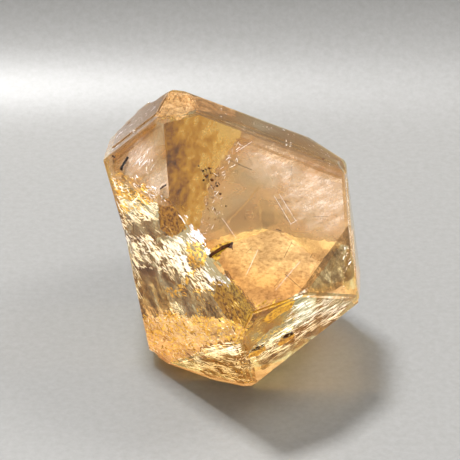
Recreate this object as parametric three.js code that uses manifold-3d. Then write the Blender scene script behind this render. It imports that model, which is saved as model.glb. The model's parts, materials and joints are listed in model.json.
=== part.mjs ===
// Limonite-included quartz: one stubby, doubly terminated quartz crystal, 56 mm long.
//
// The crystal lies on a worn, flat scar on its belly with its front point towards -Y. Every face
// is one of quartz's own: six prism faces m round the c axis, and six rhombohedral faces at each
// end. A face is placed by its reach, the distance from the crystal's centre to its plane. On top
// of the plain form sit thin growth layers, which leave steps on the faces, and the damage of a
// natural specimen is cut in: shell-shaped chips, small pits and one open, iron-filled crack.
//
// Millimetres and degrees, +Z up. The origin is under the middle of the crystal, on the surface
// that it rests on.

import * as THREE from 'three';
import { mergeVertices } from 'three/addons/utils/BufferGeometryUtils.js';
import Module from 'manifold-3d';

// ---- Driving dimensions ------------------------------------------------------------------

const AXIAL_RATIO = 1.1; // quartz's c/a, which sets the slope of its end faces
const END_SLOPE = THREE.MathUtils.radToDeg(Math.atan((2 * AXIAL_RATIO) / Math.sqrt(3)));

const SPIN = 70.38; // about the c axis, so that face m0 looks up and back
const LEAN = 75.36; // of the c axis, from upright down towards -Y
const SWING = -1.73; // about the vertical
const CENTRE_HEIGHT = 17.0; // of the crystal's centre over the resting scar

// Each face's sixth of a turn round c, and its reach in mm. Real faces sit a degree or so off
// their ideal angles: slopeOff and turnOff are those small errors.
const FACES = {
  t0: { end: 'front', turn: 0, reach: 16.1, slopeOff: -0.65, turnOff: 0.5 },
  t1: { end: 'front', turn: 1, reach: 21.4, slopeOff: 0.65, turnOff: 1.35 },
  t2: { end: 'front', turn: 2, reach: 16.25, slopeOff: -1.7, turnOff: 0.3 },
  t3: { end: 'front', turn: 3, reach: 21.5, slopeOff: -0.2, turnOff: -0.75 },
  t4: { end: 'front', turn: 4, reach: 20.7, slopeOff: 0.1, turnOff: 0.65 },
  t5: { end: 'front', turn: 5, reach: 22.2, slopeOff: 1.7, turnOff: -0.15 },
  m0: { end: 'prism', turn: 0, reach: 17.65, slopeOff: 0, turnOff: -0.55 },
  m1: { end: 'prism', turn: 1, reach: 23.75, slopeOff: 0, turnOff: -1.0 },
  m2: { end: 'prism', turn: 2, reach: 16.45, slopeOff: -0.1, turnOff: 1.45 },
  m3: { end: 'prism', turn: 3, reach: 19.95, slopeOff: 0, turnOff: 0.85 },
  m4: { end: 'prism', turn: 4, reach: 17.45, slopeOff: 0, turnOff: -0.2 },
  m5: { end: 'prism', turn: 5, reach: 18.6, slopeOff: -2.6, turnOff: -2.4 },
  b0: { end: 'back', turn: 0, reach: 19.7, slopeOff: 0, turnOff: 0 },
  b1: { end: 'back', turn: 1, reach: 28.8, slopeOff: 0, turnOff: 0 },
  b2: { end: 'back', turn: 2, reach: 20.75, slopeOff: 0, turnOff: 0 },
  b3: { end: 'back', turn: 3, reach: 21.0, slopeOff: 0, turnOff: 0 },
  b4: { end: 'back', turn: 4, reach: 21.2, slopeOff: 0, turnOff: 0 },
  b5: { end: 'back', turn: 5, reach: 16.65, slopeOff: 0, turnOff: 0 },
};

// Growth layers. Each is the same crystal with one face a little higher and every other face
// pulled in, some further than others, so that the layer ends in steps that run parallel to the
// edges with its neighbours. A later layer on a face lies on the one before it.
const LAYER_INSET = 0.3; // least distance from a layer's step to the edge of its face
const RANK_INSET = 0.013; // more for each later layer, so that no two steps share a plane
const LAYERS = [
  { m0: 0.1, t0: -1.3, b0: -2.2 },
  { m0: 0.18, t0: -2.6, b0: -5.2, m5: -4.0 },
  { m1: 0.12, t1: -2.4, b1: -3.0 },
  { m2: 0.14, t2: -4.5, b2: -2.0 },
  { m2: 0.26, t2: -7.5, b2: -5.5 },
  { m3: 0.15, t3: -1.6, m2: -1.2 },
  { m4: 0.2, t4: -3.5, b5: -2.5 },
  { m4: 0.36, t4: -8.0, b5: -6.0 },
  { m5: 0.12, t0: -3.0, b5: -2.6 },
  { m5: 0.22, t0: -6.0, b5: -5.0 },
  { t3: 0.12, m3: -1.5, m4: -2.4 },
  { t3: 0.22, m3: -3.2, m4: -5.4 },
  { t4: 0.08, m4: -0.9, m5: -0.8 },
  { t4: 0.15, m4: -1.7, m5: -1.3 },
  { t4: 0.24, m4: -3.1, m5: -2.2 },
  { b0: 0.2, m0: -3.4, b5: -4.2 },
  { b0: 0.38, m0: -7.0, b5: -8.0, b2: -5.0 },
  { b5: 0.22, m5: -3.0, b0: -4.0 },
  { b5: 0.4, m5: -7.5, b0: -7.0, m4: -4.5 },
  { b5: 0.6, m5: -12.5, b0: -10.0, m4: -8.0 },
  { b2: 0.2, m2: -3.6, b0: -3.0 },
  { b2: 0.38, m2: -8.5, b0: -5.5 },
  { b3: 0.25, b2: -3.5, b4: -2.0 },
];

// The upper half of m2 is turned a little towards m3, which leaves a shallow valley across it.
const UPPER_M2 = { end: 'prism', turn: 2, reach: 15.8, slopeOff: -0.1, turnOff: 6.4 };
const UPPER_M2_INSET = 0.04;

// Shell-shaped chips: the lowest point of the hollow, the way it faces, its radius of curvature
// and its width. Along an edge a chip is stretched by its run. Ripples go round each one, as on
// all broken quartz.
const FRONT_EDGE = [-0.64, 0.77, -0.02]; // the run of the edge between t1 and t2
const LEFT = [0.2, -0.28, -0.94]; // between t2 and m2
const BACK_LEFT = [0.54, 0.81, 0.23]; // between m1 and b2
const BACK_TOP = [0.6, -0.7, 0.6]; // between m1 and b0
const RIGHT_TOP = [-0.1, -1, 0.3]; // between m0 and m5
const RIDGE = [0.55, -0.68, -0.49]; // between t0 and t2
const BACK_FOOT = [1, 0, 0.3]; // between b3 and b4
const CHIPS = [
  // The broken top, where m0, m1, t0 and t1 would meet.
  { floor: [-9.3, 8.2, 36.6], facing: [-0.08, 0.18, 1], curve: 52, width: 15.5, along: RIDGE, run: 1 },
  // The upper left edge.
  { floor: [-18.7, 16.2, 27.9], facing: [-0.83, 0.48, 0.28], curve: 2.6, width: 3, along: BACK_LEFT, run: 1.7 },
  { floor: [-16.6, 19.2, 28.8], facing: [-0.8, 0.5, 0.4], curve: 3.2, width: 3.2, along: BACK_LEFT, run: 1 },
  { floor: [-12.4, 18.1, 32.5], facing: [-0.2, 0.6, 0.78], curve: 4.6, width: 4.2, along: BACK_TOP, run: 1.5 },
  // The front left edge.
  { floor: [-18.2, -2.7, 30.9], facing: [-0.7, -0.5, 0.5], curve: 2.6, width: 2, along: FRONT_EDGE, run: 1.5 },
  { floor: [-16.4, -4.6, 30.8], facing: [-0.8, -0.5, 0.3], curve: 4, width: 2.6, along: FRONT_EDGE, run: 2.1 },
  { floor: [-13.8, -8.1, 30.9], facing: [-0.45, -0.6, 0.65], curve: 3.4, width: 1.8, along: FRONT_EDGE, run: 1.7 },
  { floor: [-11.1, -11.3, 30.9], facing: [-0.7, -0.6, 0.3], curve: 3.8, width: 2.2, along: FRONT_EDGE, run: 1.3 },
  // The long hollow in the left edge, and the nick in the front ridge.
  { floor: [-16.1, -5.6, 16.6], facing: [-0.95, -0.45, 0.05], curve: 9, width: 6, along: LEFT, run: 1.7 },
  { floor: [-2.7, -21.5, 25.3], facing: [-0.36, -0.71, 0.6], curve: 2.2, width: 2.6, along: RIDGE, run: 1.6 },
  // Corners on the right, at the foot and at the front.
  { floor: [16.5, 1.9, 28.9], facing: [0.8, 0.1, 0.6], curve: 8, width: 6, along: RIGHT_TOP, run: 1.3 },
  { floor: [18.4, -13.1, 14.4], facing: [0.8, -0.6, 0], curve: 4, width: 3, along: RIGHT_TOP, run: 1 },
  { floor: [-12.9, -10.4, 3], facing: [-0.75, -0.5, -0.45], curve: 4.5, width: 4, along: LEFT, run: 1 },
  { floor: [2, -16.1, 0.5], facing: [0.1, -0.85, -0.5], curve: 3.2, width: 3, along: BACK_FOOT, run: 1 },
  // The broken back point and the bruises near it.
  { floor: [-1.9, 26.9, 10.6], facing: [0.05, 1, 0.05], curve: 13, width: 13, along: BACK_FOOT, run: 1 },
  { floor: [0.4, 24.4, 5.6], facing: [0.2, 0.7, -0.7], curve: 8, width: 7.5, along: BACK_FOOT, run: 1.3 },
  { floor: [10.7, 8.1, 0.8], facing: [0.6, 0.4, -0.75], curve: 7, width: 5, along: BACK_FOOT, run: 1 },
];
const RIPPLE_PITCH = 1.15;
const RIPPLE_HEIGHT = 0.05;
const CHIP_SEGMENTS = 18; // round each chip
const LID_CLEARANCE = 4; // how far a chip's cutter stands out of the crystal

// Pits on the faces: centre and radius. The first row runs along face t4, near its foot.
const PITS = [
  { centre: [2.4, -22.35, 10.75], radius: 0.32 },
  { centre: [3.15, -22.05, 11.1], radius: 0.42 },
  { centre: [3.9, -21.6, 11.15], radius: 0.34 },
  { centre: [5.9, -20.05, 10.75], radius: 0.26 },
  { centre: [7.6, -19.45, 11.7], radius: 0.55 },
  { centre: [8.3, -19.1, 11.75], radius: 0.45 },
  { centre: [-17.2, 14.6, 30.3], radius: 0.6 },
  { centre: [-16.5, 15.6, 30.5], radius: 0.45 },
];

// The open crack on t0: its two ends, its width and its depth.
const CRACK = { from: [-4.5, -21.45, 26.15], to: [-0.8, -17.8, 26.95], width: 0.5, depth: 0.45 };

const SLIVER = 0.02; // edges shorter than this, left where cuts cross, are closed up

// ---- Solid helpers -----------------------------------------------------------------------

const wasm = await Module();
wasm.setup();

const UP = new THREE.Vector3(0, 0, 1);
const CUTTER = 160; // side of the blocks that shape the faces, larger than the crystal

function toSolid(geometry) {
  const bare = new THREE.BufferGeometry();
  bare.setAttribute('position', geometry.getAttribute('position'));
  if (geometry.index) bare.setIndex(geometry.index);
  const merged = mergeVertices(bare, 1e-5);
  return new wasm.Manifold(
    new wasm.Mesh({
      numProp: 3,
      vertProperties: new Float32Array(merged.getAttribute('position').array),
      triVerts: new Uint32Array(merged.index.array),
    })
  );
}

function toGeometry(solid) {
  const mesh = solid.getMesh();
  const geometry = new THREE.BufferGeometry();
  geometry.setAttribute('position', new THREE.BufferAttribute(new Float32Array(mesh.vertProperties), 3));
  geometry.setIndex(new THREE.BufferAttribute(new Uint32Array(mesh.triVerts), 1));
  return geometry;
}

// ---- The crystal form --------------------------------------------------------------------

// A face's outward direction in the crystal's own frame: c along +Z, face m0 towards +X.
function faceDirection({ end, turn, slopeOff, turnOff }) {
  const slope = { front: END_SLOPE, prism: 90, back: 180 - END_SLOPE }[end] + slopeOff;
  const polar = THREE.MathUtils.degToRad(slope);
  const around = THREE.MathUtils.degToRad(60 * turn + turnOff);
  return new THREE.Vector3(
    Math.sin(polar) * Math.cos(around),
    Math.sin(polar) * Math.sin(around),
    Math.cos(polar)
  );
}

// A block that holds everything beyond a plane.
function beyond(direction, reach) {
  const block = new THREE.BoxGeometry(CUTTER, CUTTER, CUTTER);
  block.translate(0, 0, reach + CUTTER / 2);
  block.applyQuaternion(new THREE.Quaternion().setFromUnitVectors(UP, direction));
  return toSolid(block);
}

// The convex form whose faces lie at their reaches, each changed by its own offset or by the inset.
function crystalForm(faces, offsets = {}, inset = 0) {
  let solid = toSolid(new THREE.BoxGeometry(CUTTER / 2, CUTTER / 2, CUTTER / 2));
  for (const [name, face] of Object.entries(faces)) {
    solid = solid.subtract(beyond(faceDirection(face), face.reach + (offsets[name] ?? -inset)));
  }
  return solid;
}

// ---- Damage ------------------------------------------------------------------------------

const direction = (list) => new THREE.Vector3(...list).normalize();

// A lathed bowl, rippled on its underside and closed above, set with its floor at a point.
function chipCutter({ floor, facing, curve, width, along, run }) {
  const rings = Math.round(5 + width * 0.5);
  const profile = [];
  for (let ring = 0; ring <= rings; ring += 1) {
    const radius = (ring / rings) * width * 0.5;
    const bowl = curve - Math.sqrt(Math.max(curve * curve - radius * radius, 0));
    const ripple = RIPPLE_HEIGHT * Math.sin((2 * Math.PI * radius) / RIPPLE_PITCH);
    profile.push(new THREE.Vector2(radius, bowl + ripple));
  }
  const rim = profile[rings];
  const lid = rim.y + width * 0.5 + LID_CLEARANCE;
  profile.push(new THREE.Vector2(rim.x + width * 0.3, lid), new THREE.Vector2(0, lid));
  const bowl = new THREE.LatheGeometry(profile, CHIP_SEGMENTS);
  bowl.scale(run, 1, 1);
  const out = direction(facing);
  const side = direction(along).cross(out).normalize();
  bowl.applyMatrix4(new THREE.Matrix4().makeBasis(out.clone().cross(side), out, side));
  bowl.translate(...floor);
  return toSolid(bowl);
}

function pitCutter({ centre, radius }) {
  const ball = new THREE.IcosahedronGeometry(radius, 1);
  ball.translate(...centre);
  return toSolid(ball);
}

// A lens laid along the crack, half of it outside the crystal.
function crackCutter({ from, to, width, depth }) {
  const start = new THREE.Vector3(...from);
  const end = new THREE.Vector3(...to);
  const along = end.clone().sub(start);
  const lens = new THREE.SphereGeometry(1, 16, 8);
  lens.rotateZ(Math.PI / 2);
  lens.scale(along.length() / 2, width, depth);
  lens.applyQuaternion(
    new THREE.Quaternion().setFromUnitVectors(new THREE.Vector3(1, 0, 0), along.normalize())
  );
  lens.translate(...start.add(end).multiplyScalar(0.5).toArray());
  return toSolid(lens);
}

// ---- Assembly ----------------------------------------------------------------------------

let crystal = crystalForm(FACES);
crystal = crystal.add(crystalForm({ ...FACES, m2: UPPER_M2 }, { m2: 0 }, UPPER_M2_INSET));
LAYERS.forEach((layer, rank) => {
  crystal = crystal.add(crystalForm(FACES, layer, LAYER_INSET + rank * RANK_INSET));
});

// Turn the crystal into its resting pose and cut the resting scar.
const posed = toGeometry(crystal);
posed.rotateZ(THREE.MathUtils.degToRad(SPIN));
posed.rotateX(THREE.MathUtils.degToRad(LEAN));
posed.rotateZ(THREE.MathUtils.degToRad(SWING));
posed.translate(0, 0, CENTRE_HEIGHT);
let body = toSolid(posed).subtract(beyond(new THREE.Vector3(0, 0, -1), 0));

for (const chip of CHIPS) {
  body = body.subtract(chipCutter(chip));
}
for (const pit of PITS) {
  body = body.subtract(pitCutter(pit));
}
body = body.subtract(crackCutter(CRACK));

// Keep the crystal and drop any crumb that the cuts left loose.
const crumbs = body.decompose();
crumbs.sort((one, other) => other.volume() - one.volume());

const finished = toGeometry(crumbs[0].simplify(SLIVER));
finished.computeBoundingBox();
const middle = finished.boundingBox.getCenter(new THREE.Vector3());
finished.translate(-middle.x, -middle.y, 0);
finished.computeVertexNormals();

const quartz = new THREE.MeshStandardMaterial({ color: 0xe3b877, roughness: 0.08, flatShading: true });
const stone = new THREE.Mesh(finished, quartz);
stone.name = 'quartz_crystal';

const part = new THREE.Group();
part.name = 'limonite_included_quartz';
part.add(stone);

export default part;
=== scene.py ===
"""A limonite included quartz crystal: clear golden quartz with rusty films and white cracks inside."""

import json
import math
import random

import bmesh
import bpy
from mathutils import Matrix, Vector, noise

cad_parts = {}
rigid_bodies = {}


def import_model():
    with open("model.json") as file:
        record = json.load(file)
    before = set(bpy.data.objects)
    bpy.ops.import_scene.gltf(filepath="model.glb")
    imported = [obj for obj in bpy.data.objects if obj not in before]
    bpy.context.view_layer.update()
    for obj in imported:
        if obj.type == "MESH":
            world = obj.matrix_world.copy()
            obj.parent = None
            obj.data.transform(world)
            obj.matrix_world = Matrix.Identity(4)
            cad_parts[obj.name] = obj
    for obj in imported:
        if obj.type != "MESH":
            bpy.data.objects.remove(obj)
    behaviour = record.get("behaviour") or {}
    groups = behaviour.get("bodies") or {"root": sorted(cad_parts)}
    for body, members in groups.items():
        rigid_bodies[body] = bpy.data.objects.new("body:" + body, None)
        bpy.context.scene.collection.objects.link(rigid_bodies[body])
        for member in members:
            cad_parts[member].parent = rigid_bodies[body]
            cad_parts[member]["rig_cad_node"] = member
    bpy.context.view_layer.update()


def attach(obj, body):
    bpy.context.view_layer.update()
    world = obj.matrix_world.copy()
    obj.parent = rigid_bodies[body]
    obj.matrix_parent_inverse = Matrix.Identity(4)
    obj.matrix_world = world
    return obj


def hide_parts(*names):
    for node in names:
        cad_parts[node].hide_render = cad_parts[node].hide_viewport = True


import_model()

scene = bpy.context.scene


# ---- The quartz ---------------------------------------------------
# One clear, faintly golden crystal that grew free at both ends. Its faces are as they grew, with
# fine striae across the prism, and its chips are glassy, shell-shaped breaks.

MM = 0.001
WELD = 1e-6  # metres within which the facets' corners are one point
SHARP_EDGE = 16  # degrees
PRISM_FADE = 6.0  # how fast the prism's own finish ends where a face leans towards the crystal's axis
node_mesh = next(o for o in bpy.data.objects if o.get("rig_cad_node") == "quartz_crystal").data
crystal_mesh = node_mesh.copy()
crystal_mesh.name = "clear_quartz"
shaped = bmesh.new()
shaped.from_mesh(crystal_mesh)
bmesh.ops.remove_doubles(shaped, verts=shaped.verts, dist=WELD)
bmesh.ops.recalc_face_normals(shaped, faces=shaped.faces)
for polygon in shaped.faces:
    polygon.smooth = True
shaped.to_mesh(crystal_mesh)
shaped.free()
for spare in [a.name for a in crystal_mesh.attributes if "normal" in a.name]:
    crystal_mesh.attributes.remove(crystal_mesh.attributes[spare])
crystal_mesh.set_sharp_from_angle(angle=math.radians(SHARP_EDGE))

# How the crystal lies: its long axis leans back, and it is turned about that axis.
POSE = (
    Matrix.Rotation(math.radians(-1.73), 3, "Z")
    @ Matrix.Rotation(math.radians(75.36), 3, "X")
    @ Matrix.Rotation(math.radians(70.38), 3, "Z")
)
axis = POSE @ Vector((0, 0, 1))
grown = crystal_mesh.attributes.new("prism", "FLOAT", "FACE")
for polygon in crystal_mesh.polygons:
    grown.data[polygon.index].value = max(0.0, 1.0 - PRISM_FADE * abs(polygon.normal.dot(axis)))


def linear(code):
    """An sRGB hex colour as the linear colour that shader sockets take."""
    parts = [int(code[i : i + 2], 16) / 255 for i in (1, 3, 5)]
    return [p / 12.92 if p <= 0.04045 else ((p + 0.055) / 1.055) ** 2.4 for p in parts] + [1.0]


def add(tree, kind, settings, links=()):
    """A shader node with its properties and plain socket values set, and its inputs linked."""
    node = tree.nodes.new("ShaderNode" + kind)
    for key, value in settings.items():
        if key == "stops":
            ramp = node.color_ramp.elements
            while len(ramp) < len(value):
                ramp.new(0.5)
            for stop, (place, colour) in zip(ramp, value):
                stop.position = place
                stop.color = linear(colour) if isinstance(colour, str) else [colour] * 3 + [1.0]
        elif isinstance(key, str) and hasattr(node, key):
            setattr(node, key, value)
        else:
            node.inputs[key].default_value = value
    for key, source in dict(links).items():
        tree.links.new(source, node.inputs[key])
    return node


def new_material(name):
    """An empty material and its node tree."""
    material = bpy.data.materials.new(name)
    material.use_nodes = True
    material.node_tree.nodes.clear()
    return material, material.node_tree


def put(name, data):
    """A new object in the scene that holds this data."""
    thing = bpy.data.objects.new(name, data)
    scene.collection.objects.link(thing)
    return thing


# Quartz, IOR 1.544, grown and then a little scratched. Its skin has lost most of its polish, so
# it mirrors little. The faces swell slowly, the prism has hair-fine striae and is duller, and a
# gold tint deepens over a few centimetres.
quartz, tree = new_material("grown_quartz")
place = add(tree, "TexCoord", {})
turned = add(
    tree,
    "Mapping",
    {"Rotation": POSE.transposed().to_euler(), "Scale": (1000, 1000, 1000)},
    {"Vector": place.outputs["Object"]},
)
hills = add(
    tree, "TexNoise", {"Scale": 0.22, "Detail": 3.0, "Roughness": 0.55}, {"Vector": turned.outputs[0]}
)
flat = add(tree, "Mapping", {"Scale": (0.05, 0.05, 3.2)}, {"Vector": turned.outputs[0]})
striae = add(tree, "TexNoise", {"Scale": 1.0, "Detail": 4.0, "Roughness": 0.7}, {"Vector": flat.outputs[0]})
on_prism = add(tree, "Attribute", {"attribute_name": "prism"})
lines = add(tree, "Math", {"operation": "MULTIPLY"}, {0: striae.outputs["Fac"], 1: on_prism.outputs["Fac"]})
scratched = add(
    tree, "TexNoise", {"Scale": 2.2, "Detail": 6.0, "Roughness": 0.75}, {"Vector": turned.outputs[0]}
)
worn = add(
    tree,
    "MapRange",
    {"From Min": 0.45, "From Max": 0.8, "To Min": 0.015, "To Max": 0.09},
    {"Value": scratched.outputs["Fac"]},
)
dull = add(
    tree, "Math", {"operation": "MULTIPLY_ADD", 1: 0.15}, {0: on_prism.outputs["Fac"], 2: worn.outputs[0]}
)
swell = add(tree, "Bump", {"Strength": 0.05, "Distance": 0.0008}, {"Height": hills.outputs["Fac"]})
ridged = add(
    tree,
    "Bump",
    {"Strength": 0.15, "Distance": 0.00005},
    {"Height": lines.outputs[0], "Normal": swell.outputs[0]},
)
clear = add(
    tree,
    "BsdfPrincipled",
    {"Base Color": (1, 1, 1, 1), "IOR": 1.544, "Transmission Weight": 1.0, "Specular IOR Level": 0.2},
    {"Roughness": dull.outputs[0], "Normal": ridged.outputs[0]},
)
# Lamplight passes the skin freely from inside. Little of it gets down to the table: the sloping
# end faces throw it back up, and the prism faces let out more, as gold light in the shadow.
side = add(tree, "NewGeometry", {})
let_out = add(
    tree,
    "Mix",
    {"data_type": "RGBA", 6: (0.05, 0.045, 0.035, 1.0), 7: (0.24, 0.21, 0.13, 1.0)},
    {0: on_prism.outputs["Fac"]},
)
skin_light = add(
    tree,
    "Mix",
    {"data_type": "RGBA", 7: (1, 1, 1, 1)},
    {0: side.outputs["Backfacing"], 6: let_out.outputs[2]},
)
lamp_side = add(tree, "BsdfTransparent", {}, {"Color": skin_light.outputs[2]})
ray = add(tree, "LightPath", {})
both = add(
    tree, "MixShader", {}, {0: ray.outputs["Is Shadow Ray"], 1: clear.outputs[0], 2: lamp_side.outputs[0]}
)
tint = add(tree, "VolumeAbsorption", {"Color": (0.91, 0.8, 0.21, 1.0), "Density": 22.0})
add(tree, "OutputMaterial", {}, {"Surface": both.outputs[0], "Volume": tint.outputs[0]})

crystal_mesh.materials.clear()
crystal_mesh.materials.append(quartz)
crystal = put("clear_quartz", crystal_mesh)
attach(crystal, "root")
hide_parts("quartz_crystal")


# ---- Limonite crust ------------------------------------------------
# A rusty, grainy crust that grew over the crystal's foot and was sealed in by the last quartz.
# Seen through the upper faces it is the golden glow in the crystal's depth.

# The crystal's faces, which the films inside it follow, in rings of six: the front end, the prism
# and the back end. Each has its reach in mm from the crystal's centre, and the small errors of a
# real face in slope and turn, in degrees. Their values are those of the solid.
FACES = {
    "t": [(16.1, -0.65, 0.5), (21.4, 0.65, 1.35), (16.25, -1.7, 0.3),
          (21.5, -0.2, -0.75), (20.7, 0.1, 0.65), (22.2, 1.7, -0.15)],
    "m": [(17.65, 0.0, -0.55), (23.75, 0.0, -1.0), (16.45, -0.1, 1.45),
          (19.95, 0.0, 0.85), (17.45, 0.0, -0.2), (18.6, -2.6, -2.4)],
    "b": [(reach, 0.0, 0.0) for reach in (19.7, 28.8, 20.75, 21.0, 21.2, 16.65)],
}
AXIAL_RATIO = 1.1  # quartz's c over a
END_SLOPE = math.degrees(math.atan(2 * AXIAL_RATIO / math.sqrt(3)))
SLOPES = {"t": END_SLOPE, "m": 90, "b": 180 - END_SLOPE}
CENTRE = Vector((0.3835, -0.1, 17.0))
PLANES = {}
for ring, faces in FACES.items():
    for turn, (reach, slope_off, turn_off) in enumerate(faces):
        polar, around = math.radians(SLOPES[ring] + slope_off), math.radians(60 * turn + turn_off)
        outward = POSE @ Vector(
            (math.sin(polar) * math.cos(around), math.sin(polar) * math.sin(around), math.cos(polar))
        )
        PLANES[f"{ring}{turn}"] = (CENTRE + outward * reach, outward)
PLANES["rest"] = (Vector((0.3835, -0.1, 0.0)), Vector((0, 0, -1)))
PLANES["top"] = (Vector((-8.9, 8.1, 36.6)), Vector((-0.08, 0.18, 1)).normalized())
# Where the back point, the edge under it and the right-hand corner are broken off.
PLANES["back_break"] = (Vector((-1.9, 26.9, 10.6)), Vector((0.05, 1, 0.05)).normalized())
PLANES["under_break"] = (Vector((0.4, 24.4, 5.6)), Vector((0.2, 0.7, -0.7)).normalized())
PLANES["corner_break"] = (Vector((18.4, -13.1, 14.4)), Vector((0.8, -0.6, 0)).normalized())


def face_axes(face):
    """A face's own origin, its way to the right, its way up and its outward direction."""
    origin, outward = PLANES[face]
    right = (Vector((1, 0, 0)) - outward * outward.x).normalized()
    return origin, right, outward.cross(right), outward


def pour(bm, part):
    """Adds a finished part, made in mm, to a piece's mesh."""
    bmesh.ops.scale(part, vec=(MM, MM, MM), verts=part.verts)
    made = bpy.data.meshes.new("part")
    part.to_mesh(made)
    part.free()
    bm.from_mesh(made)
    bpy.data.meshes.remove(made)


# The noise that frays outlines starts from the clock unless it is seeded.
noise.seed_set(2)
BEYOND = 45  # mm from a face's origin, past all its edges
FRAY_STEP = 0.35  # mm between the points of a frayed outline
FRAYS = ((1.3, 1.0, 0), (4.1, 0.5, 9))  # cells per mm, share of the fraying, shift of the seed
ROLLS = 0.35  # a lifted sheet's hills per mm


def add_sheet(bm, face, depth, outline=None, ragged=0.0, seed=0, margin=0.35, thick=0.03, lift=0.0):
    """A thin film that lies along a face, some mm under it, with UVs in mm across the face."""
    origin, right, up, outward = face_axes(face)
    if outline is None:
        outline = [(-BEYOND, -BEYOND), (BEYOND, -BEYOND), (BEYOND, BEYOND), (-BEYOND, BEYOND)]
    elif ragged:
        drawn = []
        for (ax, ay), (bx, by) in zip(outline, outline[1:] + outline[:1]):
            steps = max(int(math.hypot(bx - ax, by - ay) / FRAY_STEP), 1)
            for step in range(steps):
                x, y = ax + (bx - ax) * step / steps, ay + (by - ay) * step / steps
                shift = Vector()
                for cells, share, other_seed in FRAYS:
                    spot = Vector((x * cells, y * cells, seed + other_seed))
                    shift += noise.noise_vector(spot) * ragged * share
                drawn.append((x + shift.x, y + shift.y))
        outline = drawn
    film = bmesh.new()
    uv = film.loops.layers.uv.new("UVMap")
    level = origin - outward * depth
    whole = film.faces.new([film.verts.new(level + right * x + up * y) for x, y in outline])
    bmesh.ops.triangulate(film, faces=[whole])
    for other, (point, way) in PLANES.items():
        if other != face:
            geometry = film.verts[:] + film.edges[:] + film.faces[:]
            bmesh.ops.bisect_plane(
                film, geom=geometry, plane_co=point - way * margin, plane_no=way, clear_outer=True
            )
    if lift:
        for vert in film.verts:
            vert.co += outward * lift * noise.noise(vert.co * ROLLS + Vector((seed, 0, 0)))
    back = bmesh.ops.extrude_face_region(film, geom=film.faces[:], use_keep_orig=True)
    bmesh.ops.translate(
        film, vec=-outward * thick, verts=[v for v in back["geom"] if isinstance(v, bmesh.types.BMVert)]
    )
    bmesh.ops.recalc_face_normals(film, faces=film.faces)
    if film.calc_volume(signed=True) < 0:
        bmesh.ops.reverse_faces(film, faces=film.faces)
    for face_made in film.faces:
        for loop in face_made.loops:
            across = loop.vert.co - level
            loop[uv].uv = (across.dot(right), across.dot(up))
    pour(bm, film)


def new_mesh(name, bm, material):
    """Turns what bm holds into a mesh of one material."""
    mesh = bpy.data.meshes.new(name)
    bm.to_mesh(mesh)
    bm.free()
    mesh.materials.append(material)
    return mesh


def new_piece(name, bm, material):
    """A piece inside the crystal, which goes wherever the crystal goes."""
    piece = put(name, new_mesh(name, bm, material))
    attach(piece, "root")


def finish_film(
    tree, colour, cover, by=None, roughness=0.55, glow=0.45, lets_by="#F8F1E4", lean=None, shine=0.08
):
    """Ends a film's material: light both bounces off it and comes through it. cover is how much of
    it hides what lies behind, and lets_by is the colour of the lamplight that gets past. A colour
    or a cover given as stops follows the pattern by. Quartz touches the film, so it has next to no
    shine of its own."""
    if isinstance(colour, list):
        colour = add(tree, "ValToRGB", {"stops": colour}, {"Fac": by}).outputs[0]
    if isinstance(cover, list):
        cover = add(tree, "ValToRGB", {"stops": cover}, {"Fac": by}).outputs[0]
    skin = add(tree, "BsdfPrincipled", {"Roughness": roughness, "IOR": 1.6, "Specular IOR Level": shine})
    through = add(tree, "BsdfTranslucent", {})
    for shader, socket in ((skin, "Base Color"), (through, "Color")):
        if isinstance(colour, str):
            shader.inputs[socket].default_value = linear(colour)
        else:
            tree.links.new(colour, shader.inputs[socket])
        if lean:
            tree.links.new(lean, shader.inputs["Normal"])
    film = add(tree, "MixShader", {0: glow}, {1: skin.outputs[0], 2: through.outputs[0]})
    seen = film
    if cover:
        gap = add(tree, "BsdfTransparent", {})
        seen = add(tree, "MixShader", {}, {0: cover, 1: gap.outputs[0], 2: film.outputs[0]})
    past = add(tree, "BsdfTransparent", {"Color": linear(lets_by)})
    ray = add(tree, "LightPath", {})
    both = add(
        tree, "MixShader", {}, {0: ray.outputs["Is Shadow Ray"], 1: seen.outputs[0], 2: past.outputs[0]}
    )
    add(tree, "OutputMaterial", {}, {"Surface": both.outputs[0]})


def streaks(tree, angle, along, across, detail=5.0, rough=0.6):
    """Noise on a face, drawn out along one direction. along and across are its cells per mm."""
    place = add(tree, "UVMap", {"uv_map": "UVMap"})
    drawn = {"Rotation": (0, 0, math.radians(angle)), "Scale": (1 / along, 1 / across, 1)}
    laid = add(tree, "Mapping", {"vector_type": "TEXTURE", **drawn}, {"Vector": place.outputs[0]})
    made = add(
        tree, "TexNoise", {"Scale": 1.0, "Detail": detail, "Roughness": rough}, {"Vector": laid.outputs[0]}
    )
    return made.outputs["Fac"]


crust = bmesh.new()
add_sheet(crust, "rest", 0.4, margin=0.5)
add_sheet(
    crust, "m4", 0.45,
    [(-4.8, -2.4), (-5.8, -16.6), (-0.4, -10.3), (6.2, -14.4), (8.7, -0.4), (-3.3, 0.9)],
    ragged=0.3, seed=4,
)
add_sheet(
    crust, "b4", 0.45,
    [(-12.6, -5.4), (-9.7, -4.2), (-4.8, -2.9), (3.9, -1.9), (5.8, -1.9), (-0.5, 3.3), (-4.9, -0.1),
     (-10.9, -6)],
    ragged=0.25, seed=5,
)
add_sheet(
    crust, "b3", 0.45,
    [(-6.2, -3), (0, -5), (5.7, -6.1), (8.7, -5.8), (8.7, -8.1), (-3.5, -0.4)],
    ragged=0.35, seed=6,
)
add_sheet(crust, "m3", 0.6, margin=0.7)
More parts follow.
